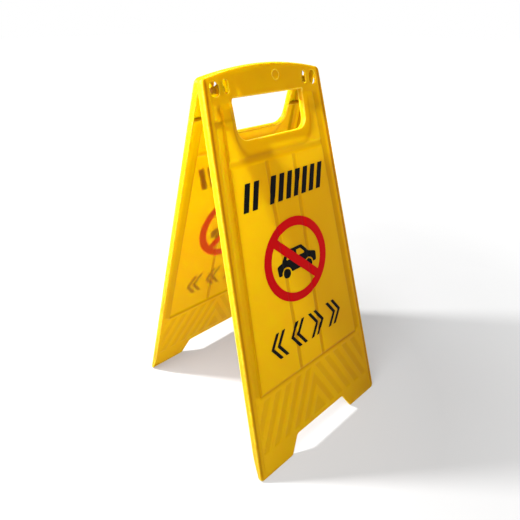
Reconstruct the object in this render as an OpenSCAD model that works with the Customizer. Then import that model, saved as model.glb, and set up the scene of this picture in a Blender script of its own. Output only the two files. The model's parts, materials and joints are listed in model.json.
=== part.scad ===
// Folding A-frame floor barricade: two identical moulded panels, hinged at the top on two
// short pins, with thin printed film markings on both faces.
// X runs along the hinge, Z is up, and the front panel stands on the -Y side.
// The origin is on the floor, under the hinge. All sizes are in millimetres.

/* [Panel] */
// Width of each panel at the floor
foot_width = 300; // [280:1:320]
// Width of each panel at its top corners
top_width = 211; // [206:1:222]
// Length of a panel from the floor to its top corners, along the panel
side_length = 588; // [582:1:594]
// Rise of the arched top edge above the top corners
arch_rise = 12; // [8:1:16]
// Thickness of the moulded sheet
wall = 2.5; // [2:0.1:3]
// Depth of the edge flange, from the face to the lip
panel_depth = 11.2; // [10:0.1:11.4]
// Lean of each panel from upright, when the barricade stands open
lean = 15.8; // [15:0.1:17]

/* [Feet] */
// Half of the gap between the feet, at the floor
notch_foot = 77; // [70:1:90]
// Half of the gap between the feet, at its top
notch_top = 59; // [50:1:66]
// Height of the gap between the feet
notch_height = 32; // [24:1:38]
// Height above which the flange has its full depth
taper_top = 46; // [30:1:60]
// Depth of the flange at the floor
foot_depth = 4; // [3:0.1:6]

/* [Hand hole] */
// Width of the hand hole
hand_width = 129; // [100:1:129]
// Height of the hand hole's lower edge, along the panel
hand_bottom = 508; // [500:1:520]
// Height of the hand hole's upper edge, along the panel
hand_top = 562; // [550:1:562]
// Depth of the rim around the hand hole
rim_depth = 10.4; // [8:0.1:10.6]

/* [Hinge] */
// Height of the hinge axis, along the panel
hinge_height = 575; // [572:0.5:577]
// Depth of the hinge axis behind the panel's face
hinge_depth = 11.64; // [11.5:0.02:12]
// Radius of a hinge pin
pin_radius = 2; // [1.5:0.1:2.5]
// Radius of the barrels around the pin
barrel_radius = 4.5; // [4:0.1:5]
// Radial clearance of the pin in the turning barrel
running_gap = 0.08; // [0.03:0.01:0.1]

/* [Relief] */
// Height of the sign face's lower edge, along the panel
field_bottom = 140; // [138:1:150]
// Height of the sign face's upper edge, along the panel
field_top = 478; // [470:1:480]
// How far the sign face stands proud of the border
field_rise = 1.5; // [1:0.1:1.8]
// Depth of the channel beside the sign face
channel_depth = 2; // [1:0.1:2.5]
// Depth of the chevron grooves above the feet
chevron_depth = 0.8; // [0.4:0.1:1]

/* [Markings] */
// Thickness of the printed film
film = 0.2; // [0.1:0.05:0.3]
// Outer radius of the prohibition ring
ring_radius = 66; // [50:1:72]
// Width of the ring's band and of its slash
ring_band = 14; // [10:1:16]

/* [Hidden] */
$fn = 96;

// colours
panel_yellow = [0.96, 0.72, 0.02];
film_red = [0.82, 0.02, 0.07];
film_black = [0.03, 0.03, 0.035];

// side edges and arched top
taper = (foot_width - top_width) / 2 / side_length;
taper_angle = atan(taper);
arch_radius = (pow(top_width / 2, 2) + pow(arch_rise, 2)) / (2 * arch_rise);
arch_centre = side_length + arch_rise - arch_radius;
arch_steps = 20;
corner_radius = 7;
notch_radius = 6;
tip_radius = 1.5;
open_foot = 20;

// standing place: the hinge axis lies over the origin
hinge_z = hinge_height * cos(lean) - hinge_depth * sin(lean);
foot_y = hinge_height * sin(lean) + hinge_depth * cos(lean);
stop_gap = 0.15;
far = 700;

// hinge pieces along X, each measured from the middle of the barricade
knuckle_span = [75.3, 81.7];
inner_ear_span = [67.3, 75];
outer_ear_span = [82, 86];
pin_span = [67.5, 86.1];
pin_head = [86.1, 88];
pin_head_radius = 3.4;
knuckle_arm_height = 7;
arm_inset = 0.2;
ear_arm = 3.9;
seat_gap = 0.02;

// windows beside each hinge: centre and half sizes, across and up the panel
outer_window = [88.5, 575, 6.5, 9];
inner_window = [71, 576.5, 4, 8.5];

// relief
ridge_edge = 10.5;
channel_edge = 23;
field_edge = 24.2;
side_draft = 0.6;
field_radius = 4;
hand_field = [486, 556];
groove_offset = 26.5;
groove_width = 9;
groove_depth = 0.8;
collar_edge = 72;
collar_bottom = 485;
collar_depth = 2;
chevron_zone = [43, 132];
chevron_side = 17;
chevron_slope = 62.6;
chevron_pitch = 45;
chevron_first = 62;
chevron_count = 7;
chevron_band = 23;
rib_height = 536;
rib_depth = 9;
emblem = [15.7, 583.5];
emblem_radius = 7;
emblem_line = 1.2;
emblem_rise = 0.4;

// markings
ring_height = 322;
slash_angle = -44;
bars_height = 416;
bars_size = [9.5, 38];
bars_lean = 11.5;
bars_pitch = 16.2;
bars_places = 10;
bars_gap_place = 2;
arrows_height = 203;
arrow_pitch = 43;
arrow_size = [15, 44];
arrow_line = 6.5;

// ---- outlines in the plane of the panel ----

function unit(v) = v / norm(v);

function turned(v, angle) = [v.x * cos(angle) - v.y * sin(angle), v.x * sin(angle) + v.y * cos(angle)];

// Points of the arc that rounds the corner "at" between its two neighbours
function corner_arc(before, at, after, radius, steps = 5) =
    let (
        a = unit(before - at),
        b = unit(after - at),
        half = acos(a * b) / 2,
        centre = at + unit(a + b) * radius / sin(half),
        start = at + a * radius / tan(half) - centre,
        sweep = -sign(a.x * b.y - a.y * b.x) * (180 - 2 * half)
    )
    [for (i = [0 : steps]) centre + turned(start, sweep * i / steps)];

// Outline through corners given as [x, z, radius]
function rounded(corners) =
    let (n = len(corners), at = [for (c = corners) [c[0], c[1]]])
    [
        for (i = [0 : n - 1])
            each corners[i][2] > 0
                ? corner_arc(at[(i + n - 1) % n], at[i], at[(i + 1) % n], corners[i][2])
                : [at[i]]
    ];

// Half width of the panel at a height, a distance inside its side edge
function half_width(height, inside = 0) =
    foot_width / 2 - height * taper - inside / cos(taper_angle);

// Height of the top corner of the outline that lies a distance inside the panel's edge
function top_corner(inside) =
    let (
        foot = half_width(0, inside),
        radius = arch_radius - inside,
        middle = foot * taper + arch_centre,
        rest = foot * foot + arch_centre * arch_centre - radius * radius,
        scale = 1 + taper * taper
    )
    (middle + sqrt(middle * middle - scale * rest)) / scale;

function arch_height(x, inside = 0) =
    arch_centre + sqrt(pow(arch_radius - inside, 2) - x * x);

// Corners of the arched top, a distance inside the panel's edge, from right to left
function arch_corners(inside) =
    let (
        top = top_corner(inside),
        top_x = half_width(top, inside),
        radius = corner_radius - inside
    )
    [
        [top_x, top, radius],
        for (i = [1 : arch_steps - 1])
            let (x = top_x * (1 - 2 * i / arch_steps)) [x, arch_height(x, inside), 0],
        [-top_x, top, radius]
    ];

// Whole panel with its two feet
function panel_outline() =
    rounded([
        [-half_width(0), 0, corner_radius],
        [-notch_foot, 0, tip_radius],
        [-notch_top, notch_height, notch_radius],
        [notch_top, notch_height, notch_radius],
        [notch_foot, 0, tip_radius],
        [half_width(0), 0, corner_radius],
        each arch_corners(0)
    ]);

// Everything inside the flange, which is open at the feet
function inner_outline(inside) =
    rounded([
        [-half_width(-open_foot, inside), -open_foot, 0],
        [half_width(-open_foot, inside), -open_foot, 0],
        each arch_corners(inside)
    ]);

// Part of the panel between two heights, a distance inside its side edges
function band_outline(low, high, inside, radius) =
    rounded([
        [-half_width(low, inside), low, radius],
        [half_width(low, inside), low, radius],
        [half_width(high, inside), high, radius],
        [-half_width(high, inside), high, radius]
    ]);

function box_outline(half, low, high, low_radius, high_radius) =
    rounded([
        [-half, low, low_radius],
        [half, low, low_radius],
        [half, high, high_radius],
        [-half, high, high_radius]
    ]);

// ---- building blocks, in the moulding's own frame: X across, Y into the panel, Z up it ----

module slab(points, from, to) {
    translate([0, to, 0])
        rotate([90, 0, 0])
            linear_extrude(to - from)
                polygon(points);
}

module oval(place, from, to) {
    straight = place[3] - place[2];
    for (x = [-place[0], place[0]])
        translate([x, to, place[1]])
            rotate([90, 0, 0])
                linear_extrude(to - from)
                    union() {
                        square([2 * place[2], 2 * straight], center = true);
                        for (end = [-straight, straight])
                            translate([0, end])
                                circle(place[2]);
                    }
}

module both_sides() {
    children();
    mirror([1, 0, 0])
        children();
}

// Prism that runs up the panel beside its right edge; points are [distance from edge, depth]
module edge_prism(points, low, high) {
    translate([foot_width / 2, 0, 0])
        rotate([0, -taper_angle, 0])
            translate([0, 0, low])
                linear_extrude(high - low)
                    polygon([for (p = points) [-p[0], p[1]]]);
}

// ---- the moulding ----

module shell() {
    difference() {
        slab(panel_outline(), 0, panel_depth);
        slab(inner_outline(wall), wall, panel_depth + 1);
        foot_taper();
    }
}

// The flange gets shallower towards the floor
module foot_taper() {
    slope = (panel_depth - foot_depth) / taper_top;
    translate([-far / 2, 0, 0])
        rotate([90, 0, 90])
            linear_extrude(far)
                polygon([
                    [foot_depth - open_foot * slope, -open_foot],
                    [panel_depth + taper_top * slope, 2 * taper_top],
                    [panel_depth + open_foot, 2 * taper_top],
                    [panel_depth + open_foot, -open_foot]
                ]);
}

module plateau(low, high) {
    slab(band_outline(low, high, field_edge - side_draft, field_radius), -field_rise, wall / 2);
}

module plateau_hollow(low, high) {
    slab(
        band_outline(low + wall, high - wall, field_edge + wall, field_radius / 2),
        wall - field_rise,
        wall + 0.01
    );
}

module channel_backing() {
    edge_prism([
        [ridge_edge - 2, wall / 2],
        [channel_edge - 1, channel_depth + wall],
        [field_edge + wall, channel_depth + wall],
        [field_edge + wall, wall / 2]
    ], field_bottom, hand_field[1]);
}

// Channel floor slopes down from the ridge, and its inner wall rises to the sign face
module channel_cut() {
    wall_slope = (field_edge - channel_edge) / (channel_depth + field_rise);
    edge_prism([
        [ridge_edge, -2 * field_rise],
        [ridge_edge, 0],
        [channel_edge, channel_depth],
        [field_edge + field_rise * wall_slope, -2 * field_rise]
    ], field_bottom + 2, hand_field[1] - 2);
}

module field_grooves() {
    for (x = [-groove_offset, groove_offset])
        translate([x - groove_width / 2, -field_rise - 1, field_bottom - 1])
            cube([groove_width, 1 + groove_depth, field_top - field_bottom + 2]);
}

module chevron_grooves() {
    intersection() {
        slab(
            band_outline(chevron_zone[0], chevron_zone[1], chevron_side, 2),
            -1,
            chevron_depth
        );
        for (i = [0 : chevron_count - 1]) {
            apex = chevron_first + i * chevron_pitch + chevron_band / 2;
            reach = apex / tan(chevron_slope);
            inner = max(apex - chevron_band, 0);
            hollow = i == 0 ? 0 : inner / tan(chevron_slope);
            slab(
                i == 0
                    ? [[-reach, 0], [0, apex], [reach, 0]]
                    : [[-reach, 0], [0, apex], [reach, 0], [hollow, 0], [0, inner], [-hollow, 0]],
                -2,
                chevron_depth + 1
            );
        }
    }
}

// Sloped surround that leads the hand into the hole
module collar_cut() {
    half = hand_width / 2;
    intersection() {
        translate([-collar_edge, 0, 0])
            rotate([90, 0, 90])
                linear_extrude(2 * collar_edge)
                    polygon([
                        [-field_rise - 1, collar_bottom],
                        [-field_rise, collar_bottom],
                        [collar_depth, hand_bottom],
                        [collar_depth, hand_top],
                        [-field_rise - 1, hand_top]
                    ]);
        translate([0, 0, collar_bottom - 1])
            linear_extrude(hand_top - collar_bottom + 2)
                polygon([
                    [-collar_edge, -field_rise - 1],
                    [-collar_edge, -field_rise],
                    [-half, collar_depth],
                    [half, collar_depth],
                    [collar_edge, -field_rise],
                    [collar_edge, -field_rise - 1]
                ]);
    }
}

module hand_outline(grow, from, to) {
    slab(
        box_outline(hand_width / 2 + grow, hand_bottom - grow, hand_top + grow, 16 + grow, 2.5 + grow),
        from,
        to
    );
}

module collar_backing() {
    slab(
        box_outline(collar_edge, collar_bottom + 2, hand_top + wall, 18, 3),
        0,
        collar_depth + wall
    );
}

module side_ribs() {
    both_sides()
        translate([hand_width / 2, wall / 2, rib_height - wall / 2])
            cube([half_width(rib_height, wall / 2) - hand_width / 2, rib_depth - wall / 2, wall]);
}

module emblem_ring() {
    translate([emblem.x, wall / 2, emblem.y])
        rotate([90, 0, 0])
            difference() {
                cylinder(h = wall / 2 + emblem_rise, r = emblem_radius);
                translate([0, 0, -1])
                    cylinder(h = wall + 2, r = emblem_radius - emblem_line);
            }
}

module knuckle_arm() {
    low = knuckle_span[0] + arm_inset;
    high = knuckle_span[1] - arm_inset;
    translate([-high, wall / 2, hinge_height - knuckle_arm_height / 2])
        cube([high - low, hinge_depth - pin_radius / 2 - wall / 2, knuckle_arm_height]);
}

module moulding_body() {
    difference() {
        union() {
            shell();
            plateau(field_bottom, field_top);
            plateau(hand_field[0], hand_field[1]);
            both_sides()
                channel_backing();
            collar_backing();
            hand_outline(wall, 0, rim_depth);
            side_ribs();
            emblem_ring();
        }
        plateau_hollow(field_bottom, field_top);
        both_sides()
            channel_cut();
        field_grooves();
        chevron_grooves();
        collar_cut();
        hand_outline(0, -5, panel_depth + 5);
        oval(outer_window, -5, panel_depth);
        oval(inner_window, -5, panel_depth);
    }
}

// ---- standing in place ----

// Puts the moulding's frame where the front panel stands
module stand() {
    translate([0, -foot_y, 0])
        rotate([-lean, 0, 0])
            children();
}

module barrel(span, radius, grow = 0) {
    translate([span[0] - grow, 0, hinge_z])
        rotate([0, 90, 0])
            cylinder(h = span[1] - span[0] + 2 * grow, r = radius);
}

module ear(span) {
    barrel(span, barrel_radius);
    intersection() {
        translate([span[0] + arm_inset, -ear_arm - stop_gap, hinge_z + pin_radius / 2])
            cube([span[1] - span[0] - 2 * arm_inset, ear_arm, 40]);
        stand()
            slab(inner_outline(wall / 2), wall / 2, panel_depth + 5);
    }
}

// One panel as it stands in front; the rear panel is the same moulding turned round
module panel() {
    difference() {
        union() {
            difference() {
                stand()
                    moulding_body();
                translate([-far / 2, -stop_gap, 0])
                    cube([far, 40, far]);
                translate([-far / 2, -far / 2, -40])
                    cube([far, far, 40]);
            }
            stand()
                knuckle_arm();
            mirror([1, 0, 0])
                barrel(knuckle_span, barrel_radius);
            ear(inner_ear_span);
            ear(outer_ear_span);
        }
        mirror([1, 0, 0])
            barrel(knuckle_span, pin_radius + running_gap, 1);
        barrel([inner_ear_span[0], outer_ear_span[1]], pin_radius + seat_gap, 1);
    }
}

module hinge_pin() {
    barrel(pin_span, pin_radius);
    barrel(pin_head, pin_head_radius);
}

// ---- film markings, drawn in the plane of the panel ----

module film_on_panel() {
    stand()
        translate([0, -field_rise, 0])
            rotate([90, 0, 0])
                linear_extrude(film)
                    children();
}

module slash_shape() {
    rotate(slash_angle)
        square([2 * ring_radius - ring_band, ring_band], center = true);
}

module ring_film() {
    film_on_panel()
        translate([0, ring_height]) {
            difference() {
                circle(ring_radius);
                circle(ring_radius - ring_band);
            }
            slash_shape();
        }
}

// Side view of a plain car
module car_shape() {
    difference() {
        polygon(rounded([
            [-41, -15, 2], [41, -15, 3], [42, 0, 4], [27, 5, 3],
            [13, 20, 5], [-18, 20, 5], [-31, 4, 4], [-42, 1, 4]
        ]));
        polygon(rounded([[-23, 5, 1.5], [-14.5, 15, 1.5], [-4, 15, 1], [-4, 5, 1]]));
        polygon(rounded([[1, 5, 1], [1, 15, 1], [10, 15, 1.5], [19.5, 5, 1.5]]));
        for (x = [-24, 24])
            translate([x, -15])
                circle(10);
    }
    for (x = [-24, 24])
        translate([x, -15])
            circle(7.5);
}

module car_film() {
    film_on_panel()
        translate([0, ring_height])
            difference() {
                car_shape();
                slash_shape();
            }
}

// Slanted hazard bars in two groups
module bars_film() {
    start = -((bars_places - 1) * bars_pitch + bars_size[0] + bars_lean) / 2;
    film_on_panel()
        for (i = [0 : bars_places - 1])
            if (i != bars_gap_place)
                translate([start + i * bars_pitch, bars_height])
                    polygon([
                        [0, 0],
                        [bars_size[0], 0],
                        [bars_size[0] + bars_lean, bars_size[1]],
                        [bars_lean, bars_size[1]]
                    ]);
}

module arrow_shape() {
    tip = arrow_size[0];
    half = arrow_size[1] / 2;
    polygon([
        [0, 0], [tip, half], [tip + arrow_line, half],
        [arrow_line, 0],
        [tip + arrow_line, -half], [tip, -half]
    ]);
}

// Four double chevrons that point away from the middle
module arrows_film() {
    pair_width = arrow_size[0] + 3 * arrow_line;
    film_on_panel()
        translate([0, arrows_height])
            for (side = [0, 1], place = [0.5, 1.5], step = [0, 1])
                mirror([side, 0])
                    translate([-place * arrow_pitch - pair_width / 2 + 2 * step * arrow_line, 0])
                        arrow_shape();
}

// ---- the pieces ----

module rear() {
    rotate([0, 0, 180])
        children();
}

module front_panel() {
    color(panel_yellow) panel();
}

module rear_panel() {
    color(panel_yellow) rear() panel();
}

module right_hinge_pin() {
    color(panel_yellow) hinge_pin();
}

module left_hinge_pin() {
    color(panel_yellow) rear() hinge_pin();
}

module front_prohibition_ring() {
    color(film_red) ring_film();
}

module rear_prohibition_ring() {
    color(film_red) rear() ring_film();
}

module front_car_symbol() {
    color(film_black) car_film();
}

module rear_car_symbol() {
    color(film_black) rear() car_film();
}

module front_hazard_bars() {
    color(film_black) bars_film();
}

module rear_hazard_bars() {
    color(film_black) rear() bars_film();
}

module front_direction_chevrons() {
    color(film_black) arrows_film();
}

module rear_direction_chevrons() {
    color(film_black) rear() arrows_film();
}

front_panel();
rear_panel();
left_hinge_pin();
right_hinge_pin();
front_prohibition_ring();
front_car_symbol();
front_hazard_bars();
front_direction_chevrons();
rear_prohibition_ring();
rear_car_symbol();
rear_hazard_bars();
rear_direction_chevrons();
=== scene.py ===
import json
import math

import bpy
import numpy as np
from mathutils import Matrix, Vector
from mathutils.geometry import delaunay_2d_cdt


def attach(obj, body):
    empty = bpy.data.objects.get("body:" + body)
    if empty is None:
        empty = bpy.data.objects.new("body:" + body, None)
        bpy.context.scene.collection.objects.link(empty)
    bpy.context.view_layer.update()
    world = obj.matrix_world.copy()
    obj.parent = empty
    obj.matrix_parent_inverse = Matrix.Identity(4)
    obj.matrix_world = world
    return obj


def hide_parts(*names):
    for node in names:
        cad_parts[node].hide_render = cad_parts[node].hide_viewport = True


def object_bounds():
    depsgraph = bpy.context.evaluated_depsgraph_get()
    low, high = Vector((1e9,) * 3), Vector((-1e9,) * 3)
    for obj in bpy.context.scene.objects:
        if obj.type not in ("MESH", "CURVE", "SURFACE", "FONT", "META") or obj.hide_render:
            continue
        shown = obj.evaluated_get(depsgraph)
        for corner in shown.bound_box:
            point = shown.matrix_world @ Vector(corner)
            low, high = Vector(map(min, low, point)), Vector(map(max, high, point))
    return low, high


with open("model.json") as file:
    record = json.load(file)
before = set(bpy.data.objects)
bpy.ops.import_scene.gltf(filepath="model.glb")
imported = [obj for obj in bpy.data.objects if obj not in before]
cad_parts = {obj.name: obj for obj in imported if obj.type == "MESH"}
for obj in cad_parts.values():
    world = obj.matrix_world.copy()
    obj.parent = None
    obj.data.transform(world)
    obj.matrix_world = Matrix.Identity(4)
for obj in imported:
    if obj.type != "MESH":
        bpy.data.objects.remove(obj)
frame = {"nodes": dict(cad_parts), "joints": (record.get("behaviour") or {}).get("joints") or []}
cad_low, cad_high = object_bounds()

# The panels are worked out in their own frame: u across, v up the panel and w into it, in millimetres.
MM = 0.001

# place of the standing panels, from the frame
HINGE_Z = frame["joints"][0]["pos_m"][2] / MM
FOOT_Y = cad_high[1] / MM
LEAN = math.radians(15.8)
STOP_GAP = 0.2

# panel outline
FOOT_WIDTH = 300
TOP_WIDTH = 211
SIDE_LENGTH = 588
ARCH_RISE = 12
TAPER = (FOOT_WIDTH - TOP_WIDTH) / 2 / SIDE_LENGTH
TAPER_ANGLE = math.atan(TAPER)
ARCH_RADIUS = ((TOP_WIDTH / 2) ** 2 + ARCH_RISE**2) / (2 * ARCH_RISE)
ARCH_CENTRE = SIDE_LENGTH + ARCH_RISE - ARCH_RADIUS
ARCH_STEPS = 24
CORNER_RADIUS = 7
NOTCH_FOOT = 77
NOTCH_TOP = 59
NOTCH_HEIGHT = 32
NOTCH_RADIUS = 7
TIP_RADIUS = 6

# sheet, flange and rim
WALL = 2.5
PANEL_DEPTH = 11.2
FOOT_DEPTH = 4
FOOT_LIP = 3.1
TAPER_TOP = 46
RIM_DEPTH = 10.4
FACE_FILLET = 2.2
LIP_FILLET = 0.9
INNER_FILLET = 1.6

# hand hole and the windows beside the hinges: centre and half sizes
HAND_WIDTH = 129
HAND_BOTTOM = 508
HAND_TOP = 562
HAND_RADII = (16, 2.5)
WINDOWS = ((88.7, 575, 7, 9.5), (71, 576.5, 4, 8.5))

# relief
FIELD_BOTTOM = 140
FIELD_TOP = 478
FIELD_RISE = 1.5
FOOT_STEP_DEPTH = 0.5
FIELD_EDGE = 24.2
HAND_FIELD = (486, 555)
EDGE_LINE = 5.6
EDGE_LINE_DEPTH = 0.7
EDGE_RIDGE = 9.4
EDGE_RIDGE_RISE = 0.5
EDGE_HALF = 2.2
RIDGE_EDGE = 10.5
CHANNEL_EDGE = 22.6
CHANNEL_DEPTH = 2
GROOVE_OFFSET = 26.5
GROOVE_WIDTH = 7.5
GROOVE_DEPTH = 0.8
COLLAR_EDGE = 72
COLLAR_BOTTOM = 485
COLLAR_DEPTH = 2
CHEVRON_SLOPE = math.radians(62.6)
CHEVRON_PITCH = 45
CHEVRON_FIRST = 62
CHEVRON_BAND = 23
CHEVRON_DEPTH = 0.8
CHEVRON_ZONE = (43, 131)
CHEVRON_SIDE = 15.5
RIB_HEIGHT = 536
RIB_DEPTH = 9
EMBLEM = (15.7, 583.5)
EMBLEM_RADIUS = 6.4
EMBLEM_RISE = 0.55
TOP_ROUND_REACH = 9
TOP_ROUND_DEPTH = 1.2

# painted shade: the colour is made deeper towards the floor, where the light falls off, by this much at the
# floor and up to this height
FOOT_SHADE = 0.45
FOOT_SHADE_TOP = 470

# hinge pieces along X
KNUCKLE_SPAN = (75.3, 81.7)
EAR_SPANS = ((67.3, 75), (82, 86))
BARREL_RADIUS = 4.5
KNUCKLE_BORE = 2.08
EAR_BORE = 2.02

# printed film
FILM = 0.2
RING_HEIGHT = 322
RING_RADIUS = 66
RING_BAND = 14
SLASH_ANGLE = math.radians(-44)
BARS_HEIGHT = 416
BARS_SIZE = (9.5, 38)
BARS_LEAN = 11.5
BARS_PITCH = 16.2
BARS_PLACES = 10
BARS_GAP_PLACE = 2
ARROWS_HEIGHT = 203
ARROW_PITCH = 43
ARROW_SIZE = (15, 44)
ARROW_LINE = 6.5

# how far each print's shadow spreads in the sheet, seen from behind
PRINT_ZONE = (150, 470)
RED_SPREAD = 2.5
BLACK_SPREAD = 2.2

# film mesh: spacing inside, spacing along the outline, and how near the outline a point may lie
FILM_GRID = 1.8
FILM_EDGE = 1.2
FILM_CLEAR = 0.6

# hinge plates: chamfer, and the spacing of their outline
PLATE_CHAMFER = 0.35
PLATE_STEP = 2.0

# rounded edges of the hand hole's rim, on its face
RIM_FILLET = 1.8

# edges sharper than this are shaded as edges
SHARP_ANGLE = math.radians(38)

# triangles smaller than this lie along a straight edge and are left out
SLIVER = 0.004

# colours of the panel: plain, painted shade in the recesses, painted shade near the floor, wear with
# painted highlight, and painted shadow of the print seen from behind
PLASTIC = ((0.61, 0.30, 0.0), (0.65, 0.324, 0.0))
PLASTIC_PAINTED_SHADE = (0.40, 0.14, 0.0)
PLASTIC_FLOOR_SHADE = (0.40, 0.185, 0.0)
PLASTIC_WORN_AND_HIGHLIT = (0.88, 0.58, 0.06)
RED_PRINT_SHADOW = (0.85, 0.10, 0.01)
BLACK_PRINT_SHADOW = (0.42, 0.20, 0.01)
# how far red, green and blue light travel in the sheet, and the scale of that in metres
LIGHT_REACH = (1.0, 1.38, 0.04)
LIGHT_SCALE = 0.009

# colours of the pins, the inks and the floor
PIN = ((0.80, 0.43, 0.0), (0.88, 0.52, 0.004))
RED_INK = (0.58, 0.001, 0.002)
RED_WORN = (0.66, 0.02, 0.014)
BLACK_INK = (0.004, 0.004, 0.004)
BLACK_WORN = (0.03, 0.026, 0.022)
INK_ROUGHNESS = 0.5
FLOOR = ((0.38, 0.38, 0.38), (0.40, 0.40, 0.40))
FLOOR_SIZE = 12.0

# studio: the floor's own glow by distance in metres, and the sky's strength by height
FLOOR_GLOW_NEAR = (0.35, 0.34)
FLOOR_GLOW_FAR = (1.5, 0.95)
SKY_LOW = (0.03, 1.0)
SKY_HIGH = (0.50, 0.16)
KEY_PLACE = (-0.669, 0.631, 0.972)
KEY_TARGET = (0, 0, 0.3)
KEY_SIZE = 0.14
KEY_POWER = 35
TOP_PLACE = (-0.55, -0.1, 1.35)
TOP_TARGET = (0, 0, 0.5)
TOP_SIZE = 0.7
TOP_POWER = 14

# camera
CAMERA_PLACE = (-0.4177, -0.4522, 0.6363)
CAMERA_YAW = 0.7440
CAMERA_PITCH = -0.5337
CAMERA_ROLL = 0.0077
CAMERA_LENS = 29.28


# ---- formulas of the panel ----


def smooth(x, low, high):
    """Smooth step from 0 at low to 1 at high."""
    t = np.clip((x - low) / (high - low), 0, 1)
    return t * t * (3 - 2 * t)


def bump(x, middle, half):
    """Smooth bump of height 1 around middle."""
    return 1 - smooth(np.abs(x - middle), 0, half)


def half_width(v):
    return FOOT_WIDTH / 2 - v * TAPER


def side_distance(u, v):
    """Distance from the panel's side edge, measured square to it."""
    return (half_width(v) - np.abs(u)) * math.cos(TAPER_ANGLE)


def arch_height(u):
    return ARCH_CENTRE + np.sqrt(ARCH_RADIUS**2 - u * u)


def field_mask(v):
    """Where the raised sign face runs, up the panel."""
    low, high = HAND_FIELD
    face = smooth(v, FIELD_BOTTOM, FIELD_BOTTOM + 4.5) * (1 - smooth(v, FIELD_TOP - 2, FIELD_TOP + 1))
    hand = smooth(v, low - 1, low + 2) * (1 - smooth(v, high - 3, high))
    return face + hand


def channel_run(u, v):
    """Where the side channel runs; its lower end is slanted."""
    start = FIELD_BOTTOM + 7 - 0.6 * (side_distance(u, v) - RIDGE_EDGE)
    return smooth(v, start - 2.5, start + 2.5) * (1 - smooth(v, HAND_FIELD[1] - 4, HAND_FIELD[1] + 1))


def chevron_mask(u, v):
    """The nested chevron grooves above the feet."""
    apex = v + np.abs(u) * math.tan(CHEVRON_SLOPE)
    turn = np.maximum(np.round((apex - CHEVRON_FIRST) / CHEVRON_PITCH), 0)
    off = np.abs(apex - CHEVRON_FIRST - turn * CHEVRON_PITCH)
    off = np.where(apex < CHEVRON_FIRST, 0, off) * math.cos(CHEVRON_SLOPE)
    half = CHEVRON_BAND / 2 * math.cos(CHEVRON_SLOPE)
    band = 1 - smooth(off, half - 1.1, half + 1.1)
    rows = smooth(v, CHEVRON_ZONE[0] - 1.5, CHEVRON_ZONE[0] + 1.5)
    rows = rows * (1 - smooth(v, CHEVRON_ZONE[1] - 1.5, CHEVRON_ZONE[1] + 1.5))
    return band * rows * smooth(side_distance(u, v), CHEVRON_SIDE - 1.5, CHEVRON_SIDE + 1.5)


def groove_mask(u, v):
    """The two upright grooves in the sign face."""
    off = np.abs(np.abs(u) - GROOVE_OFFSET)
    across = 1 - smooth(off, GROOVE_WIDTH / 2 - 1.4, GROOVE_WIDTH / 2 + 0.6)
    return across * smooth(v, FIELD_BOTTOM, FIELD_BOTTOM + 3) * (1 - smooth(v, FIELD_TOP - 3, FIELD_TOP))


def collar_reach(u, v):
    """0 at the hand hole's edge and 1 at the collar's outer edge."""
    radius = HAND_RADII[0]
    middle = HAND_WIDTH / 2 - radius
    across = np.maximum(np.abs(u) - middle, 0)
    below = np.maximum(HAND_BOTTOM + radius - v, 0)
    way = np.hypot(across, below)
    share = np.hypot(across / (COLLAR_EDGE - middle), below / (HAND_BOTTOM + radius - COLLAR_BOTTOM))
    outer = way / np.maximum(share, 0.001)
    return np.maximum((way - radius) / np.maximum(outer - radius, 1), 0)


def collar_share(u, v):
    return np.maximum(np.minimum(collar_reach(u, v), 1), smooth(v, HAND_TOP - 6, HAND_TOP - 0.5))


def emblem_mask(u, v):
    """The small raised ring at the top."""
    return bump(np.hypot(u - EMBLEM[0], v - EMBLEM[1]) - EMBLEM_RADIUS, 0, 1.1)


def top_round(u, v):
    """How far the face curves back towards the arched top edge."""
    gap = arch_height(u) - v
    return TOP_ROUND_DEPTH * np.clip(1 - gap / TOP_ROUND_REACH, 0, 1) ** 2


def relief(u, v):
    """Depth of the panel's face: 0 on the border, less than 0 where it stands proud."""
    e = side_distance(u, v)
    run = channel_run(u, v)
    inside = smooth(e, CHANNEL_EDGE, FIELD_EDGE + 0.3)
    slope = np.clip((e - RIDGE_EDGE) / (CHANNEL_EDGE - RIDGE_EDGE), 0, 1) * (1 - inside)
    w = CHANNEL_DEPTH * run * slope - FIELD_RISE * field_mask(v) * inside
    edge_run = smooth(v, 5, 20) * (1 - smooth(v, 560, 575))
    line = EDGE_LINE_DEPTH * bump(e, EDGE_LINE, EDGE_HALF)
    ridge = EDGE_RIDGE_RISE * bump(e, EDGE_RIDGE, EDGE_HALF)
    w = w + edge_run * (line - ridge)
    w = w + GROOVE_DEPTH * groove_mask(u, v) + CHEVRON_DEPTH * chevron_mask(u, v)
    w = w + FOOT_STEP_DEPTH * bump(v, FIELD_BOTTOM - 1, 3.5) * smooth(e, CHANNEL_EDGE - 3, FIELD_EDGE)
    share = collar_share(u, v)
    w = COLLAR_DEPTH * (1 - share) + w * share
    return w - EMBLEM_RISE * emblem_mask(u, v)


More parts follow.
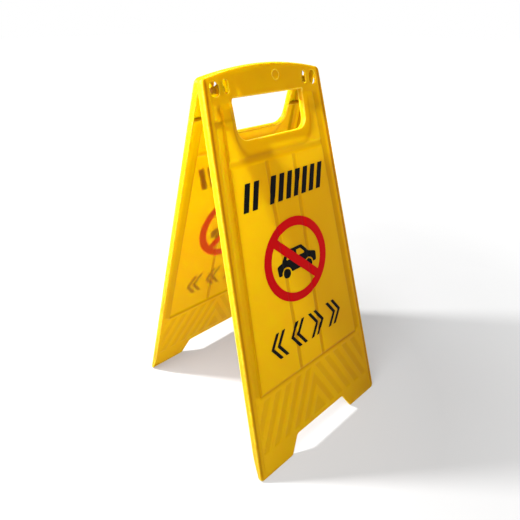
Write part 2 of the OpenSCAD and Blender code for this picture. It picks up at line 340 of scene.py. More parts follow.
def shade(u, v):
    """Painted shade: how much deeper the colour is made in the side channels, seams, the foot step, the
    edge line, the grooves, the chevrons and round the hand-hole collar, where the sheet faces down or away
    and lies in shade.
    """
    e = side_distance(u, v)
    run = channel_run(u, v)
    slope = smooth(e, RIDGE_EDGE, RIDGE_EDGE + 5)
    step = smooth(e, CHANNEL_EDGE - 4, FIELD_EDGE)
    channel = run * (0.7 * slope + 0.3 * step) * (1 - smooth(e, FIELD_EDGE, FIELD_EDGE + 1.5))
    seam = bump(v, (FIELD_TOP + HAND_FIELD[0]) / 2, 7) * smooth(e, CHANNEL_EDGE - 2, FIELD_EDGE + 1)
    foot_step = bump(v, FIELD_BOTTOM, 5) * smooth(e, CHANNEL_EDGE - 3, FIELD_EDGE)
    line = bump(e, EDGE_LINE - 0.6, 3.0)
    rim = bump(collar_reach(u, v), 0.95, 0.35) * (1 - smooth(v, HAND_TOP - 22, HAND_TOP - 8))
    deep = np.maximum.reduce([
        (0.8 - 0.3 * smooth(v, 440, 540)) * channel,
        0.4 * seam,
        foot_step,
        line * smooth(v, 3, 14),
        (0.4 + 0.4 * (1 - smooth(v, 200, 440))) * groove_mask(u, v),
        0.38 * chevron_mask(u, v),
        0.5 * rim,
    ])
    return np.clip(deep, 0, 1)


def standing(points, rear=False):
    """Panel points (u, v, w) where they stand in the world, in metres."""
    points = np.asarray(points, dtype=float)
    u, v, w = points[:, 0], points[:, 1], points[:, 2]
    y = -FOOT_Y + v * math.sin(LEAN) + w * math.cos(LEAN)
    z = np.maximum(v * math.cos(LEAN) - w * math.sin(LEAN), 0)
    place = np.column_stack([u, y, z]) * MM
    if rear:
        place[:, :2] *= -1
    return place


# ---- outlines ----


def corner_arc(before, at, after, radius, steps=6):
    """Points of the arc that rounds the corner "at" between its two neighbours."""
    a = (before - at) / np.linalg.norm(before - at)
    b = (after - at) / np.linalg.norm(after - at)
    half = math.acos(np.clip(a @ b, -1, 1)) / 2
    centre = at + (a + b) / np.linalg.norm(a + b) * radius / math.sin(half)
    start = at + a * radius / math.tan(half) - centre
    sweep = -math.copysign(math.pi - 2 * half, a[0] * b[1] - a[1] * b[0])
    arc = []
    for i in range(steps + 1):
        t = sweep * i / steps
        turn = np.array([[math.cos(t), -math.sin(t)], [math.sin(t), math.cos(t)]])
        arc.append(centre + turn @ start)
    return arc


def rounded(corners, step=3.0):
    """Closed outline through corners (u, v, radius), with no segment longer than step."""
    at = [np.array(c[:2], dtype=float) for c in corners]
    points = []
    for i, corner in enumerate(corners):
        if corner[2] > 0:
            points += corner_arc(at[i - 1], at[i], at[(i + 1) % len(at)], corner[2])
        else:
            points.append(at[i])
    return subdivided(points, step)


def subdivided(points, step):
    result = []
    for i, start in enumerate(points):
        end = points[(i + 1) % len(points)]
        parts = max(1, math.ceil(np.linalg.norm(end - start) / step))
        result += [start + (end - start) * k / parts for k in range(parts)]
    return np.array(result)


def inward(loop):
    """Vectors that move each point of a counter-clockwise loop one unit inside its neighbouring sides."""
    ahead = np.roll(loop, -1, axis=0) - loop
    ahead /= np.linalg.norm(ahead, axis=1)[:, None]
    left = np.column_stack([-ahead[:, 1], ahead[:, 0]])
    total = left + np.roll(left, 1, axis=0)
    return 2 * total / np.sum(total * total, axis=1)[:, None]


def contains(loop, points):
    """Even-odd test of many points against one closed loop."""
    x, y = points[:, 0], points[:, 1]
    hits = np.zeros(len(points), dtype=bool)
    for (x0, y0), (x1, y1) in zip(loop, np.roll(loop, -1, axis=0)):
        if y0 == y1:
            continue
        hits ^= ((y0 > y) != (y1 > y)) & (x < (x1 - x0) * (y - y0) / (y1 - y0) + x0)
    return hits


def panel_outline():
    top_half = half_width(SIDE_LENGTH)
    corners = [
        (-half_width(0), 0, CORNER_RADIUS),
        (-NOTCH_FOOT, 0, TIP_RADIUS),
        (-NOTCH_TOP, NOTCH_HEIGHT, NOTCH_RADIUS),
        (NOTCH_TOP, NOTCH_HEIGHT, NOTCH_RADIUS),
        (NOTCH_FOOT, 0, TIP_RADIUS),
        (half_width(0), 0, CORNER_RADIUS),
        (top_half, SIDE_LENGTH, CORNER_RADIUS),
    ]
    for i in range(2, ARCH_STEPS - 1):
        u = top_half * (1 - 2 * i / ARCH_STEPS)
        corners.append((u, float(arch_height(u)), 0))
    corners.append((-top_half, SIDE_LENGTH, CORNER_RADIUS))
    return rounded(corners)


def hand_outline():
    half = HAND_WIDTH / 2
    low, high = HAND_RADII
    return rounded([
        (-half, HAND_BOTTOM, low),
        (half, HAND_BOTTOM, low),
        (half, HAND_TOP, high),
        (-half, HAND_TOP, high),
    ])


def window_outline(window, side):
    u, v, half_u, half_v = window
    points = []
    steps = 10
    for end in (-1, 1):
        for i in range(steps + 1):
            t = math.pi * (i / steps + (1 if end < 0 else 0))
            points.append(np.array([
                side * u + half_u * math.cos(t),
                v + end * (half_v - half_u) + half_u * math.sin(t),
            ]))
    return subdivided(points, 2.5)


# ---- surfaces ----


def groove_columns():
    """Places across a groove where its section needs points."""
    return [GROOVE_OFFSET + s * (GROOVE_WIDTH / 2 + d) for s in (-1, 1) for d in (-1.6, -0.8, 0, 0.8)]


def grid_points():
    """Points inside the panel's outline: rows up the panel, in columns that follow its side edges."""
    fine = list(np.arange(40, 134, 1.5)) + list(np.arange(138, 147, 1.1)) + list(np.arange(475, 490, 1.2))
    rows = sorted(set(np.round(fine, 3)) | set(np.arange(2.5, 600, 2.8)))
    kept = [rows[0]]
    for v in rows[1:]:
        if v - kept[-1] > 0.8:
            kept.append(v)
    from_edge = [3.2, 4.4, 5.6, 7, 8.2, 9.2, 10.2, 11.2, 13.5, 16, 18.5, 20.8, 22.3, 23, 23.6, 24.2, 25.2]
    near_groove = groove_columns()
    near_collar = [COLLAR_EDGE + d for d in (-3, -2, -1, 0, 1, 2, 3)]
    points = []
    for n, v in enumerate(kept):
        half = half_width(v)
        columns = [half - e / math.cos(TAPER_ANGLE) for e in from_edge]
        limit = columns[-1] - 1.2
        step = 1.9 if 38 < v < 136 else 2.8
        spaced = [u for u in np.arange(0.5 * step * (n % 2), limit, step)]
        near = near_collar if v > HAND_FIELD[0] else near_groove
        columns += [u for u in spaced if min(abs(u - g) for g in near) > 0.6] + near
        for u in columns:
            points.append((u, v))
            if u > 0:
                points.append((-u, v))
    points = np.array(points)
    off = np.hypot(points[:, 0] - EMBLEM[0], points[:, 1] - EMBLEM[1])
    points = points[off > EMBLEM_RADIUS + 2.4]
    rings = []
    for radius in (2.6, 5.2, 5.8, 6.4, 7.0, 7.6, 8.4):
        count = 40 if radius > 4 else 12
        for i in range(count):
            t = 2 * math.pi * i / count
            rings.append((EMBLEM[0] + radius * math.cos(t), EMBLEM[1] + radius * math.sin(t)))
    return np.vstack([points, rings])


def triangulate(loops, points, keep):
    """Constrained triangulation; keep says which triangles stay, from their centres."""
    verts = [Vector(p) for loop in loops for p in loop] + [Vector(p) for p in points]
    edges = []
    start = 0
    for loop in loops:
        count = len(loop)
        edges += [(start + i, start + (i + 1) % count) for i in range(count)]
        start += count
    found = delaunay_2d_cdt(verts, edges, [], 0, 1e-5)
    places = np.array([tuple(p) for p in found[0]])
    triangles = np.array(found[2])
    sources = found[3]
    new_of = {}
    for new, olds in enumerate(sources):
        for old in olds:
            new_of[old] = new
    a, b, c = (places[triangles[:, i]] for i in range(3))
    doubled_area = np.abs((b - a)[:, 0] * (c - a)[:, 1] - (b - a)[:, 1] * (c - a)[:, 0])
    triangles = triangles[(doubled_area > SLIVER) & keep((a + b + c) / 3)]
    loop_rows = []
    start = 0
    for loop in loops:
        loop_rows.append([new_of[start + i] for i in range(len(loop))])
        start += len(loop)
    used = np.unique(triangles)
    renumber = np.full(len(places), -1)
    renumber[used] = np.arange(len(used))
    rows = [[int(renumber[i]) for i in row] for row in loop_rows]
    return places[used], renumber[triangles], rows


class Builder:
    """Collects vertices in panel coordinates, faces, and values for the material."""

    def __init__(self):
        self.places = []
        self.faces = []
        self.values = {"shade": [], "wear": [], "red_print": [], "black_print": []}
        self.count = 0

    def add(self, places, **values):
        places = np.asarray(places, dtype=float)
        first = self.count
        self.places.append(places)
        for name, stored in self.values.items():
            stored.append(np.broadcast_to(values.get(name, 0.0), len(places)).astype(float))
        self.count += len(places)
        return np.arange(first, self.count)

    def bridge(self, rows, flip):
        """Joins rings of vertices, each to the next."""
        for low, high in zip(rows, rows[1:]):
            ring = zip(low, np.roll(low, -1), np.roll(high, -1), high)
            for a, b, c, d in ring:
                self.faces.append((a, d, c, b) if flip else (a, b, c, d))

    def finish(self, name, rear):
        places = standing(np.vstack(self.places), rear)
        mesh = bpy.data.meshes.new(name)
        mesh.from_pydata(places.tolist(), [], [tuple(int(i) for i in f) for f in self.faces])
        for key, stored in self.values.items():
            layer = mesh.attributes.new(key, "FLOAT", "POINT")
            layer.data.foreach_set("value", np.concatenate(stored))
        mesh.shade_smooth()
        mesh.set_sharp_from_angle(angle=SHARP_ANGLE)
        mesh.validate()
        piece = bpy.data.objects.new(name, mesh)
        bpy.context.scene.collection.objects.link(piece)
        return piece


# ---- the printed shapes ----


def slash_outline():
    along = RING_RADIUS - RING_BAND / 2
    across = RING_BAND / 2
    c, s = math.cos(SLASH_ANGLE), math.sin(SLASH_ANGLE)
    corners = [(-along, -across), (along, -across), (along, across), (-along, across)]
    return np.array([(x * c - y * s, RING_HEIGHT + x * s + y * c) for x, y in corners])


def disc(centre, radius, count=64):
    t = np.arange(count) * 2 * math.pi / count
    return np.column_stack([centre[0] + radius * np.cos(t), centre[1] + radius * np.sin(t)])


def ring_shape():
    outer = disc((0, RING_HEIGHT), RING_RADIUS, 128)
    inner = disc((0, RING_HEIGHT), RING_RADIUS - RING_BAND, 128)
    slash = slash_outline()

    def mask(points):
        return contains(outer, points) & (~contains(inner, points) | contains(slash, points))

    return [outer, inner, slash], mask


def car_shape():
    """Side view of a plain car, cut by the slash."""

    def raised(corners):
        loop = rounded([(u, v, r) for u, v, r in corners], 4)
        loop[:, 1] += RING_HEIGHT
        return loop

    body = raised([
        (-41, -15, 2), (41, -15, 3), (42, 0, 4), (27, 5, 3),
        (13, 20, 5), (-18, 20, 5), (-31, 4, 4), (-42, 1, 4),
    ])
    rear_window = raised([(-23, 5, 1.5), (-4, 5, 1), (-4, 15, 1), (-14.5, 15, 1.5)])
    front_window = raised([(1, 5, 1), (19.5, 5, 1.5), (10, 15, 1.5), (1, 15, 1)])
    arches = [disc((u, RING_HEIGHT - 15), 10, 40) for u in (-24, 24)]
    wheels = [disc((u, RING_HEIGHT - 15), 7.5, 40) for u in (-24, 24)]
    slash = slash_outline()

    def mask(points):
        inside = contains(body, points) & ~contains(rear_window, points) & ~contains(front_window, points)
        for arch, wheel in zip(arches, wheels):
            inside = (inside & ~contains(arch, points)) | contains(wheel, points)
        return inside & ~contains(slash, points)

    return [body, rear_window, front_window, *arches, *wheels, slash], mask


def loops_shape(loops):
    def mask(points):
        inside = np.zeros(len(points), dtype=bool)
        for loop in loops:
            inside |= contains(loop, points)
        return inside

    return loops, mask


def bars_shape():
    """Slanted hazard bars in two groups."""
    width, height = BARS_SIZE
    start = -((BARS_PLACES - 1) * BARS_PITCH + width + BARS_LEAN) / 2
    loops = []
    for i in range(BARS_PLACES):
        if i == BARS_GAP_PLACE:
            continue
        u = start + i * BARS_PITCH
        corners = [(u, 0), (u + width, 0), (u + width + BARS_LEAN, height), (u + BARS_LEAN, height)]
        loops.append(rounded([(x, BARS_HEIGHT + y, 0.5) for x, y in corners], 4))
    return loops_shape(loops)


def arrows_shape():
    """Four double chevrons that point away from the middle."""
    tip, half = ARROW_SIZE[0], ARROW_SIZE[1] / 2
    line = ARROW_LINE
    pair_width = tip + 3 * line
    corners = [(0, 0), (tip, -half), (tip + line, -half), (line, 0), (tip + line, half), (tip, half)]
    loops = []
    for side in (1, -1):
        for place in (0.5, 1.5):
            for step in (0, 1):
                shift = -place * ARROW_PITCH - pair_width / 2 + 2 * step * line
                loop = [(side * (x + shift), ARROWS_HEIGHT + y, 0.4) for x, y in corners]
                loops.append(rounded(loop if side > 0 else loop[::-1], 4))
    return loops_shape(loops)


SHAPES = {
    "prohibition_ring": ring_shape(),
    "car_symbol": car_shape(),
    "hazard_bars": bars_shape(),
    "direction_chevrons": arrows_shape(),
}


def blurred(mask, points, reach):
    """Share of a shape's cover around each point, as light scatters it through the sheet."""
    total = mask(points).astype(float)
    for i in range(8):
        t = math.pi * i / 4
        far = reach if i % 2 else 0.5 * reach
        total += mask(points + far * np.array([math.cos(t), math.sin(t)]))
    return total / 9


def show_through(points):
    """Painted shadow of the red and black print, as it shows through the sheet from behind with light
    coming through it.
    """
    low, high = PRINT_ZONE
    near = (points[:, 1] > low) & (points[:, 1] < high)
    red = np.zeros(len(points))
    black = np.zeros(len(points))
    some = points[near]
    red[near] = blurred(SHAPES["prohibition_ring"][1], some, RED_SPREAD)
    for name in ("car_symbol", "hazard_bars", "direction_chevrons"):
        black[near] = np.maximum(black[near], blurred(SHAPES[name][1], some, BLACK_SPREAD))
    return red, black


# ---- the panel moulding ----


def flange_depth(loop):
    """Depth of the flange along the outline: shallow at the feet and cut back where the panels meet."""
    u, v = loop[:, 0], loop[:, 1]
    side = FOOT_DEPTH + (PANEL_DEPTH - FOOT_DEPTH) * smooth(v, -TAPER_TOP * 0.3, TAPER_TOP * 1.1)
    low = 1 - smooth(side_distance(u, v), 0, CORNER_RADIUS)
    depth = FOOT_LIP + (side - FOOT_LIP) * low
    depth = np.where(v > SIDE_LENGTH / 2, PANEL_DEPTH, depth)
    stop = (FOOT_Y - STOP_GAP - v * math.sin(LEAN)) / math.cos(LEAN)
    return np.minimum(depth, stop)


def add_rings(build, loop, out, profile, first, last, flip, wear):
    """Rings of vertices from the face's loop to the back's, along a profile of (inset, depth)."""
    rows = [first]
    for (inset, depth), worn_and_highlit in zip(profile, wear):
        places = np.column_stack([loop + out * inset[:, None], depth])
        rows.append(build.add(places, wear=worn_and_highlit))
    rows.append(last)
    build.bridge(rows, flip)


def edge_profile(depth, back_depth, fillet, face_depth):
    """Section through the flange: face fillet, outer side, lip and inner side.

    back_depth is how far the sheet's back lies behind its usual place, and face_depth the face.
    """
    r = np.minimum(fillet, depth * 0.42)
    lip = np.minimum(LIP_FILLET, depth * 0.25)
    back = np.minimum(LIP_FILLET, np.maximum(depth - WALL, 0) * 0.45)
    curve = np.minimum(INNER_FILLET, np.maximum(depth - WALL, 0) * 0.5)
    profile = []
    for i in (1, 2, 3, 4):
        a = math.pi / 8 * i
        profile.append((r * (1 - math.sin(a)), face_depth + r * (1 - math.cos(a))))
    profile.append((0 * r, (face_depth + r + depth - lip) / 2))
    profile.append((0 * r, depth - lip))
    profile.append((0.3 * lip, depth - 0.3 * lip))
    profile.append((lip, depth))
    profile.append((WALL - back, depth))
    profile.append((WALL + 0.06 - 0.3 * back, depth - 0.3 * back))
    profile.append((WALL + 0.12 + 0 * r, depth - back))
    profile.append((WALL + 0.3 + 0 * r, WALL + back_depth + curve))
    profile.append((WALL + 0.3 + 0.3 * curve, WALL + back_depth + 0.3 * curve))
    # paleness of each ring, partly wear and partly painted highlight on the rounded edges
    wear = [0.5, 1, 1, 0.4, 0, 0.3, 0.9, 0.6, 0.6, 0.3, 0, 0, 0]
    return profile, wear


def moulding(build):
    """The moulded sheet with its flange, hand-hole rim and windows, as one closed surface."""
    outline = panel_outline()
    hand = hand_outline()
    windows = [window_outline(w, side) for w in WINDOWS for side in (-1, 1)]
    loops = [outline, hand, *windows]
    # vectors from each loop into the sheet
    into = [inward(outline), -inward(hand)] + [-inward(w) for w in windows]
    depth = flange_depth(outline)
    start = np.minimum(FACE_FILLET, depth * 0.42)
    face_gap = [start, np.full(len(hand), RIM_FILLET)] + [np.full(len(w), 0.7) for w in windows]
    curve = np.minimum(INNER_FILLET, np.maximum(depth - WALL, 0) * 0.5)
    back_gap = [WALL + 0.35 + curve, np.full(len(hand), WALL + 2)] + [np.full(len(w), 0.4) for w in windows]
    grid = grid_points()

    def surface(gaps, sign, thickness):
        edges = [loop + way * gap[:, None] for loop, way, gap in zip(loops, into, gaps)]
        guard = [edge + way * 1.1 for edge, way in zip(edges, into)]
        inside = contains(guard[0], grid)
        for hole in guard[1:]:
            inside &= ~contains(hole, grid)

        def keep(centres):
            kept = contains(edges[0], centres)
            for hole in edges[1:]:
                kept &= ~contains(hole, centres)
            return kept

        flat, triangles, rows = triangulate(edges, grid[inside], keep)
        w = relief(flat[:, 0], flat[:, 1])
        w = w + (thickness if thickness else top_round(flat[:, 0], flat[:, 1]))
        places = np.column_stack([flat, w])
        # painted shade of the recesses, kept for the material
        tone = shade(flat[:, 0], flat[:, 1])
        if thickness:
            # painted shadow of the print on the back of the sheet
            red, black = show_through(flat)
            index = build.add(places, shade=tone, red_print=red, black_print=black)
        else:
            # the emblem ring is made paler, a painted highlight
            index = build.add(places, shade=tone, wear=emblem_mask(flat[:, 0], flat[:, 1]))
        for a, b, c in triangles:
            build.faces.append((index[a], index[b], index[c])[::sign])
        return [index[row] for row in rows]

    face_rows = surface(face_gap, 1, 0)
    back_rows = surface(back_gap, -1, WALL)

    # flange
    face = top_round(*(outline + into[0] * start[:, None]).T)
    profile, wear = edge_profile(depth, 0, FACE_FILLET, face)
    add_rings(build, outline, into[0], profile, face_rows[0], back_rows[0], True, wear)

    # rim of the hand hole
    base = relief(*(hand + into[1] * RIM_FILLET).T)
    rim = np.full(len(hand), float(RIM_DEPTH))
    profile, wear = edge_profile(rim, base, RIM_FILLET, base)
    add_rings(build, hand, into[1], profile, face_rows[1], back_rows[1], False, wear)

    # windows
    for loop, way, face_row, back_row in zip(loops[2:], into[2:], face_rows[2:], back_rows[2:]):
        zero = np.zeros(len(loop))
        section = [(0.2, 0.12), (0, 0.6), (0, WALL - 0.4), (0.1, WALL)]
        profile = [(zero + inset, zero + w) for inset, w in section]
        # the windows' rounded face edge is made paler: wear and painted highlight
        add_rings(build, loop, way, profile, face_row, back_row, False, [0.8, 1, 0, 0])


# ---- hinge pieces and ribs, as closed solids that grow out of the moulding ----


def to_panel(y, z):
    """Panel (v, w) of a point given by its world y and z, in millimetres, on the front side."""
    v = z * math.cos(LEAN) + (y + FOOT_Y) * math.sin(LEAN)
    w = (y + FOOT_Y) * math.cos(LEAN) - z * math.sin(LEAN)
    return v, w


def add_plate(build, outline, hole, low, high):
    """Plate square to X: an outline in (y, z) with a round hole, and chamfered edges."""
    loops = [outline, hole]
    edges = [outline + inward(outline) * PLATE_CHAMFER, hole - inward(hole) * PLATE_CHAMFER]

    def keep(centres):
        return contains(edges[0], centres) & ~contains(edges[1], centres)

    flat, triangles, rows = triangulate(edges, np.zeros((0, 2)), keep)

    def placed(points, x):
        v, w = to_panel(points[:, 0], points[:, 1])
        return np.column_stack([np.full(len(points), float(x)), v, w])

    near = build.add(placed(flat, low))
    far = build.add(placed(flat, high))
    for a, b, c in triangles:
        build.faces.append((near[a], near[c], near[b]))
        build.faces.append((far[a], far[b], far[c]))
    for n, loop in enumerate(loops):
        rings = [near[rows[n]]]
        # the chamfers are made paler: wear and painted highlight
        rings.append(build.add(placed(loop, low + PLATE_CHAMFER), wear=0.6))
        rings.append(build.add(placed(loop, high - PLATE_CHAMFER), wear=0.6))
        rings.append(far[rows[n]])
        build.bridge(rings, n == 1)


def circle_arc(start, end, steps, radius):
    """Arc about the hinge axis, in (y, z)."""
    t = np.linspace(start, end, steps)
    return [np.array([radius * math.cos(a), HINGE_Z + radius * math.sin(a)]) for a in t]


def knuckle(build):
    """Barrel that turns on the other panel's pin, on an arm that reaches out of the sheet."""
    base_v = HINGE_Z * math.cos(LEAN) + FOOT_Y * math.sin(LEAN)
    points = circle_arc(-0.62 * math.pi, 0.52 * math.pi, 22, BARREL_RADIUS)
    for v, w in ((base_v + 6.5, WALL - 1), (base_v - 7.5, WALL - 1)):
        y = -FOOT_Y + v * math.sin(LEAN) + w * math.cos(LEAN)
        z = v * math.cos(LEAN) - w * math.sin(LEAN)
        points.append(np.array([y, z]))
    hole = np.array(circle_arc(0, 2 * math.pi, 25, KNUCKLE_BORE)[:-1])
    low, high = -KNUCKLE_SPAN[1], -KNUCKLE_SPAN[0]
    add_plate(build, subdivided(points, PLATE_STEP), hole, low, high)


def ear(build, span):
    """Barrel that holds the pin, on an arm that rises along the stop face to the top flange."""
    reach = max(span)
    top_v = float(arch_height(reach)) - 1.3
    top_z = (top_v - (FOOT_Y - 2) * math.sin(LEAN)) / math.cos(LEAN)
    near, away = -STOP_GAP, -4.05
    points = circle_arc(-math.pi + 0.45, -0.05, 20, BARREL_RADIUS)
    points += circle_arc(0, 0.5 * math.pi - 0.05, 8, BARREL_RADIUS)
    points += [np.array([near, HINGE_Z + BARREL_RADIUS + 0.6]), np.array([near, top_z])]
    points += [np.array([away, top_z]), np.array([away, HINGE_Z + 2])]
    hole = np.array(circle_arc(0, 2 * math.pi, 25, EAR_BORE)[:-1])
    add_plate(build, subdivided(points, PLATE_STEP), hole, span[0], span[1])


def rib(build, side):
    """Short rib between the hand hole's rim and the side flange."""
    u0 = HAND_WIDTH / 2 + WALL - 0.6
    u1 = half_width(RIB_HEIGHT) - WALL + 0.6
    half = WALL / 2
    soft = 0.5
    top = [
        (-half + 0.15, RIB_DEPTH - soft), (-half + 0.15 + soft, RIB_DEPTH),
        (half - 0.15 - soft, RIB_DEPTH), (half - 0.15, RIB_DEPTH - soft),
    ]
    rings = []
    for u in np.linspace(u0, u1, 20):
        root = float(relief(u, RIB_HEIGHT)) + WALL - 0.6
        section = [(-half, root), *top, (half, root)]
        ring = [(side * u, RIB_HEIGHT + v, w) for v, w in section]
        # the rib's rounded top edges are made paler: wear and painted highlight
        rings.append(build.add(ring, wear=[0, 0.4, 0.6, 0.6, 0.4, 0]))
    build.bridge(rings, side < 0)
    first, last = tuple(rings[0]), tuple(rings[-1])
    build.faces.append(first[::-1] if side > 0 else first)
    build.faces.append(last if side > 0 else last[::-1])


def make_panel(name, node, body, rear, material):
    build = Builder()
    moulding(build)
    knuckle(build)
    for span in EAR_SPANS:
        ear(build, span)
    for side in (-1, 1):
        rib(build, side)
    piece = build.finish(name, rear)
    piece.data.materials.append(material)
    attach(piece, body)
    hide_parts(node)
    return piece


# ---- films ----


def make_film(side, shape_name, body, material):
    """Printed film that follows the face it is on."""
    loops, mask = SHAPES[shape_name]
    every = np.vstack(loops)
    low, high = every.min(axis=0), every.max(axis=0)
    lines = np.array([sign * u for u in groove_columns() for sign in (-1, 1)])
    columns = np.arange(low[0], high[0], FILM_GRID)
    columns = columns[np.abs(columns[:, None] - lines).min(axis=1) > 0.5]
    columns = np.concatenate([columns, lines[(lines > low[0]) & (lines < high[0])]])
    us, vs = np.meshgrid(columns, np.arange(low[1], high[1], FILM_GRID))
    grid = np.column_stack([us.ravel(), vs.ravel()])
    near = np.zeros(len(grid), dtype=bool)
    for loop in loops:
        for p in subdivided(list(loop), 1.0):
            near |= np.hypot(grid[:, 0] - p[0], grid[:, 1] - p[1]) < FILM_CLEAR
    grid = grid[mask(grid) & ~near]
    dense = [subdivided(list(loop), FILM_EDGE) for loop in loops]
    flat, triangles, _ = triangulate(dense, grid, mask)
    build = Builder()
    w = relief(flat[:, 0], flat[:, 1])
    top = build.add(np.column_stack([flat, w - FILM]))
    under = build.add(np.column_stack([flat, w - 0.01]))
    counts = {}
    for a, b, c in triangles:
        build.faces.append((top[a], top[b], top[c]))
        build.faces.append((under[a], under[c], under[b]))
        for edge in ((a, b), (b, c), (c, a)):
            counts[edge] = counts.get(edge, 0) + 1
    for a, b in counts:
        if (b, a) not in counts:
            build.faces.append((top[b], top[a], under[a], under[b]))
    piece = build.finish(f"{side}_{shape_name}_print", side == "rear")
    piece.data.materials.append(material)
    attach(piece, body)
    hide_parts(f"{side}_{shape_name}")
    return piece


# ---- materials ----


class Nodes:
    """Short ways to add and link shader nodes in one material."""

    def __init__(self, name):
        self.material = bpy.data.materials.new(name)
        self.material.use_nodes = True
        self.tree = self.material.node_tree
        self.shader = self.tree.nodes["Principled BSDF"]
        self.place = self.add("ShaderNodeTexCoord").outputs["Object"]

    def add(self, kind, **settings):
        node = self.tree.nodes.new(kind)
        for key, value in settings.items():
            setattr(node, key, value)
        return node

    def link(self, output, entry):
        self.tree.links.new(output, entry)

    def noise(self, scale, detail=3.0, roughness=0.5):
        node = self.add("ShaderNodeTexNoise")
        node.inputs["Scale"].default_value = scale
        node.inputs["Detail"].default_value = detail
        node.inputs["Roughness"].default_value = roughness
        self.link(self.place, node.inputs["Vector"])
        return node.outputs["Fac"]

    def spread(self, value, low, high, to_low=0.0, to_high=1.0):
        node = self.add("ShaderNodeMapRange")
        node.inputs["From Min"].default_value = low
        node.inputs["From Max"].default_value = high
        node.inputs["To Min"].default_value = to_low
        node.inputs["To Max"].default_value = to_high
        self.link(value, node.inputs["Value"])
        return node.outputs["Result"]

    def times(self, a, b):
        node = self.add("ShaderNodeMath", operation="MULTIPLY")
        self.link(a, node.inputs[0])
        if isinstance(b, float):
            node.inputs[1].default_value = b
        else:
            self.link(b, node.inputs[1])
        return node.outputs[0]

    def value(self, name):
        return self.add("ShaderNodeAttribute", attribute_name=name).outputs["Fac"]

    def mix(self, share, a, b):
        node = self.add("ShaderNodeMix", data_type="RGBA")
        self.link(share, node.inputs["Factor"])
        for entry, colour in ((node.inputs[6], a), (node.inputs[7], b)):
            if isinstance(colour, tuple):
                entry.default_value = (*colour, 1)
            else:
                self.link(colour, entry)
        return node.outputs[2]

    def bump(self, height, strength, distance, below=None):
        node = self.add("ShaderNodeBump")
        node.inputs["Strength"].default_value = strength
        node.inputs["Distance"].default_value = distance
        self.link(height, node.inputs["Height"])
        if below is not None:
            self.link(below, node.inputs["Normal"])
        return node.outputs["Normal"]


def panel_plastic():
    """Satin moulded polypropylene that lets some light through."""
    nodes = Nodes("panel_plastic")
    shader = nodes.shader
    flow = nodes.spread(nodes.noise(9.0, 2.0), 0.35, 0.65)
    base = nodes.mix(flow, *PLASTIC)
    # painted shade in the channels, grooves, chevrons and seams
    base = nodes.mix(nodes.value("shade"), base, PLASTIC_PAINTED_SHADE)
    # painted shade: the colour grows deeper towards the floor, standing in for the light falling off
    height = nodes.add("ShaderNodeSeparateXYZ")
    nodes.link(nodes.place, height.inputs[0])
    low = nodes.spread(height.outputs["Z"], 0.0, FOOT_SHADE_TOP * MM, FOOT_SHADE, 0.0)
    base = nodes.mix(low, base, PLASTIC_FLOOR_SHADE)
    # painted shadow of the print, seen through the back of the sheet
    base = nodes.mix(nodes.value("red_print"), base, RED_PRINT_SHADOW)
    base = nodes.mix(nodes.value("black_print"), base, BLACK_PRINT_SHADOW)
    # edges and the emblem are made paler, partly wear and partly painted highlight
    scuff = nodes.spread(nodes.noise(120.0, 5.0, 0.6), 0.30, 0.75, 0.25, 1.0)
    worn_and_highlit = nodes.times(nodes.value("wear"), scuff)
    base = nodes.mix(worn_and_highlit, base, PLASTIC_WORN_AND_HIGHLIT)
    nodes.link(base, shader.inputs["Base Color"])
    rough = nodes.spread(nodes.noise(60.0, 5.0, 0.6), 0.3, 0.7, 0.34, 0.46)
    nodes.link(rough, shader.inputs["Roughness"])
    shader.inputs["Subsurface Weight"].default_value = 1.0
    shader.inputs["Subsurface Radius"].default_value = LIGHT_REACH
    shader.inputs["Subsurface Scale"].default_value = LIGHT_SCALE
    shader.inputs["Specular IOR Level"].default_value = 0.04
    grain = nodes.bump(nodes.noise(900.0, 3.0), 0.12, 0.0002)
    wave = nodes.bump(nodes.noise(14.0, 2.0), 0.25, 0.002, grain)
    nodes.link(wave, shader.inputs["Normal"])
    return nodes.material


def pin_plastic():
    """The pins' plastic, denser than the panels'."""
    nodes = Nodes("pin_plastic")
    shader = nodes.shader
    flow = nodes.spread(nodes.noise(80.0, 3.0), 0.35, 0.65)
    base = nodes.mix(flow, *PIN)
    nodes.link(base, shader.inputs["Base Color"])
    rough = nodes.spread(nodes.noise(400.0, 4.0), 0.3, 0.7, 0.32, 0.5)
    nodes.link(rough, shader.inputs["Roughness"])
    shader.inputs["Subsurface Weight"].default_value = 0.3
    shader.inputs["Subsurface Radius"].default_value = (1.0, 0.55, 0.05)
    shader.inputs["Subsurface Scale"].default_value = 0.003
    nodes.link(nodes.bump(nodes.noise(1500.0, 2.0), 0.15, 0.0001), shader.inputs["Normal"])
    return nodes.material


def film_ink(name, colour, worn_colour, roughness):
    """Printed film: even ink with fine grain and faint scuffs."""
    nodes = Nodes(name)
    shader = nodes.shader
    scuff = nodes.spread(nodes.noise(220.0, 8.0, 0.75), 0.60, 0.80, 0.0, 0.5)
    cloud = nodes.spread(nodes.noise(30.0, 3.0), 0.3, 0.7, 0.0, 0.35)
    deeper = tuple(0.8 * c for c in colour)
    base = nodes.mix(cloud, colour, deeper)
    base = nodes.mix(scuff, base, worn_colour)
    nodes.link(base, shader.inputs["Base Color"])
    rough = nodes.spread(nodes.noise(120.0, 5.0), 0.3, 0.7, roughness - 0.05, roughness + 0.08)
    nodes.link(rough, shader.inputs["Roughness"])
    shader.inputs["Specular IOR Level"].default_value = 0.05
    nodes.link(nodes.bump(nodes.noise(1800.0, 3.0), 0.10, 0.0001), shader.inputs["Normal"])
    return nodes.material


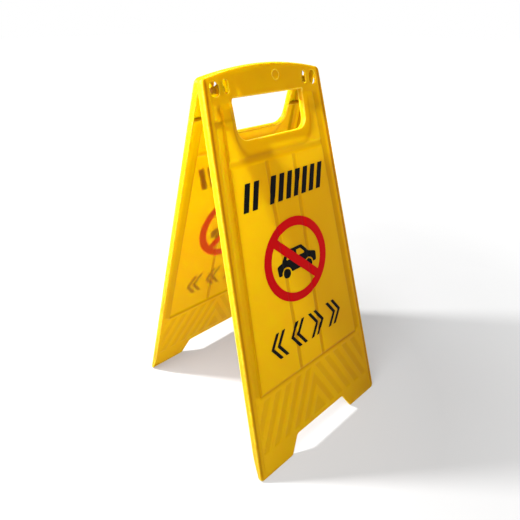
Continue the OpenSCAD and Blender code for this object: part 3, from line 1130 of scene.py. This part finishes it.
def floor_material():
    """Plain pale floor that glows a little more with distance."""
    nodes = Nodes("pale_floor")
    shader = nodes.shader
    cloud = nodes.spread(nodes.noise(3.0, 4.0), 0.3, 0.7)
    base = nodes.mix(cloud, *FLOOR)
    nodes.link(base, shader.inputs["Base Color"])
    far = nodes.add("ShaderNodeVectorMath", operation="LENGTH")
    nodes.link(nodes.place, far.inputs[0])
    near_way, near_glow = FLOOR_GLOW_NEAR
    far_way, far_glow = FLOOR_GLOW_FAR
    glow = nodes.spread(far.outputs["Value"], near_way, far_way, near_glow, far_glow)
    shader.inputs["Emission Color"].default_value = (1, 1, 1, 1)
    nodes.link(glow, shader.inputs["Emission Strength"])
    shader.inputs["Roughness"].default_value = 0.9
    shader.inputs["Specular IOR Level"].default_value = 0.1
    return nodes.material


# ---- stage ----


def make_camera():
    """The photo's view of the barricade."""
    data = bpy.data.cameras.new("camera")
    data.lens = CAMERA_LENS
    data.sensor_width = 36
    camera = bpy.data.objects.new("camera", data)
    bpy.context.scene.collection.objects.link(camera)
    forward = Vector((
        math.sin(CAMERA_YAW) * math.cos(CAMERA_PITCH),
        math.cos(CAMERA_YAW) * math.cos(CAMERA_PITCH),
        math.sin(CAMERA_PITCH),
    ))
    right = Vector((math.cos(CAMERA_YAW), -math.sin(CAMERA_YAW), 0))
    up = right.cross(forward)
    c, s = math.cos(CAMERA_ROLL), math.sin(CAMERA_ROLL)
    right, up = c * right + s * up, c * up - s * right
    turn = Matrix((right, up, -forward)).transposed()
    camera.matrix_world = Matrix.Translation(CAMERA_PLACE) @ turn.to_4x4()
    bpy.context.scene.camera = camera


def make_floor():
    mesh = bpy.data.meshes.new("floor")
    size = FLOOR_SIZE
    corners = [(-size, -size, 0), (size, -size, 0), (size, size, 0), (-size, size, 0)]
    mesh.from_pydata([Vector(c) for c in corners], [], [(0, 1, 2, 3)])
    floor = bpy.data.objects.new("floor", mesh)
    bpy.context.scene.collection.objects.link(floor)
    floor.data.materials.append(floor_material())


def make_area_light(name, place, target, size, power):
    data = bpy.data.lights.new(name, "AREA")
    data.shape = "DISK"
    data.size = size
    data.energy = power
    light = bpy.data.objects.new(name, data)
    bpy.context.scene.collection.objects.link(light)
    light.location = place
    way = Vector(target) - Vector(place)
    light.rotation_euler = way.to_track_quat("-Z", "Y").to_euler()


def make_lights():
    """A sky that is bright at the horizon, a key light behind at the left, and a soft top light."""
    world = bpy.data.worlds.new("studio")
    bpy.context.scene.world = world
    world.use_nodes = True
    tree = world.node_tree
    background = tree.nodes["Background"]
    background.inputs["Color"].default_value = (1, 1, 1, 1)
    way = tree.nodes.new("ShaderNodeTexCoord")
    parts = tree.nodes.new("ShaderNodeSeparateXYZ")
    fade = tree.nodes.new("ShaderNodeMapRange")
    fade.inputs["From Min"].default_value = SKY_LOW[0]
    fade.inputs["From Max"].default_value = SKY_HIGH[0]
    fade.inputs["To Min"].default_value = SKY_LOW[1]
    fade.inputs["To Max"].default_value = SKY_HIGH[1]
    tree.links.new(way.outputs["Generated"], parts.inputs[0])
    tree.links.new(parts.outputs["Z"], fade.inputs["Value"])
    tree.links.new(fade.outputs["Result"], background.inputs["Strength"])
    make_area_light("key", KEY_PLACE, KEY_TARGET, KEY_SIZE, KEY_POWER)
    make_area_light("top", TOP_PLACE, TOP_TARGET, TOP_SIZE, TOP_POWER)


def finish_pin(node, material):
    """The CAD pins stay, with rounded edges and their own plastic."""
    pin = frame["nodes"][node]
    pin.data.materials.clear()
    pin.data.materials.append(material)
    weld = pin.modifiers.new("weld", "WELD")
    weld.merge_threshold = 0.00002
    soft = pin.modifiers.new("soft_edges", "BEVEL")
    soft.width = 0.0003
    soft.segments = 2
    soft.angle_limit = math.radians(40)


make_camera()
make_floor()
make_lights()
bpy.context.scene.view_settings.view_transform = "Standard"

plastic = panel_plastic()
red_ink = film_ink("red_film", RED_INK, RED_WORN, INK_ROUGHNESS)
black_ink = film_ink("black_film", BLACK_INK, BLACK_WORN, INK_ROUGHNESS)
pins = pin_plastic()

for side in ("front", "rear"):
    body = f"{side}_leaf"
    make_panel(f"{side}_panel_moulding", f"{side}_panel", body, side == "rear", plastic)
    make_film(side, "prohibition_ring", body, red_ink)
    for shape_name in ("car_symbol", "hazard_bars", "direction_chevrons"):
        make_film(side, shape_name, body, black_ink)
for node in ("left_hinge_pin", "right_hinge_pin"):
    finish_pin(node, pins)
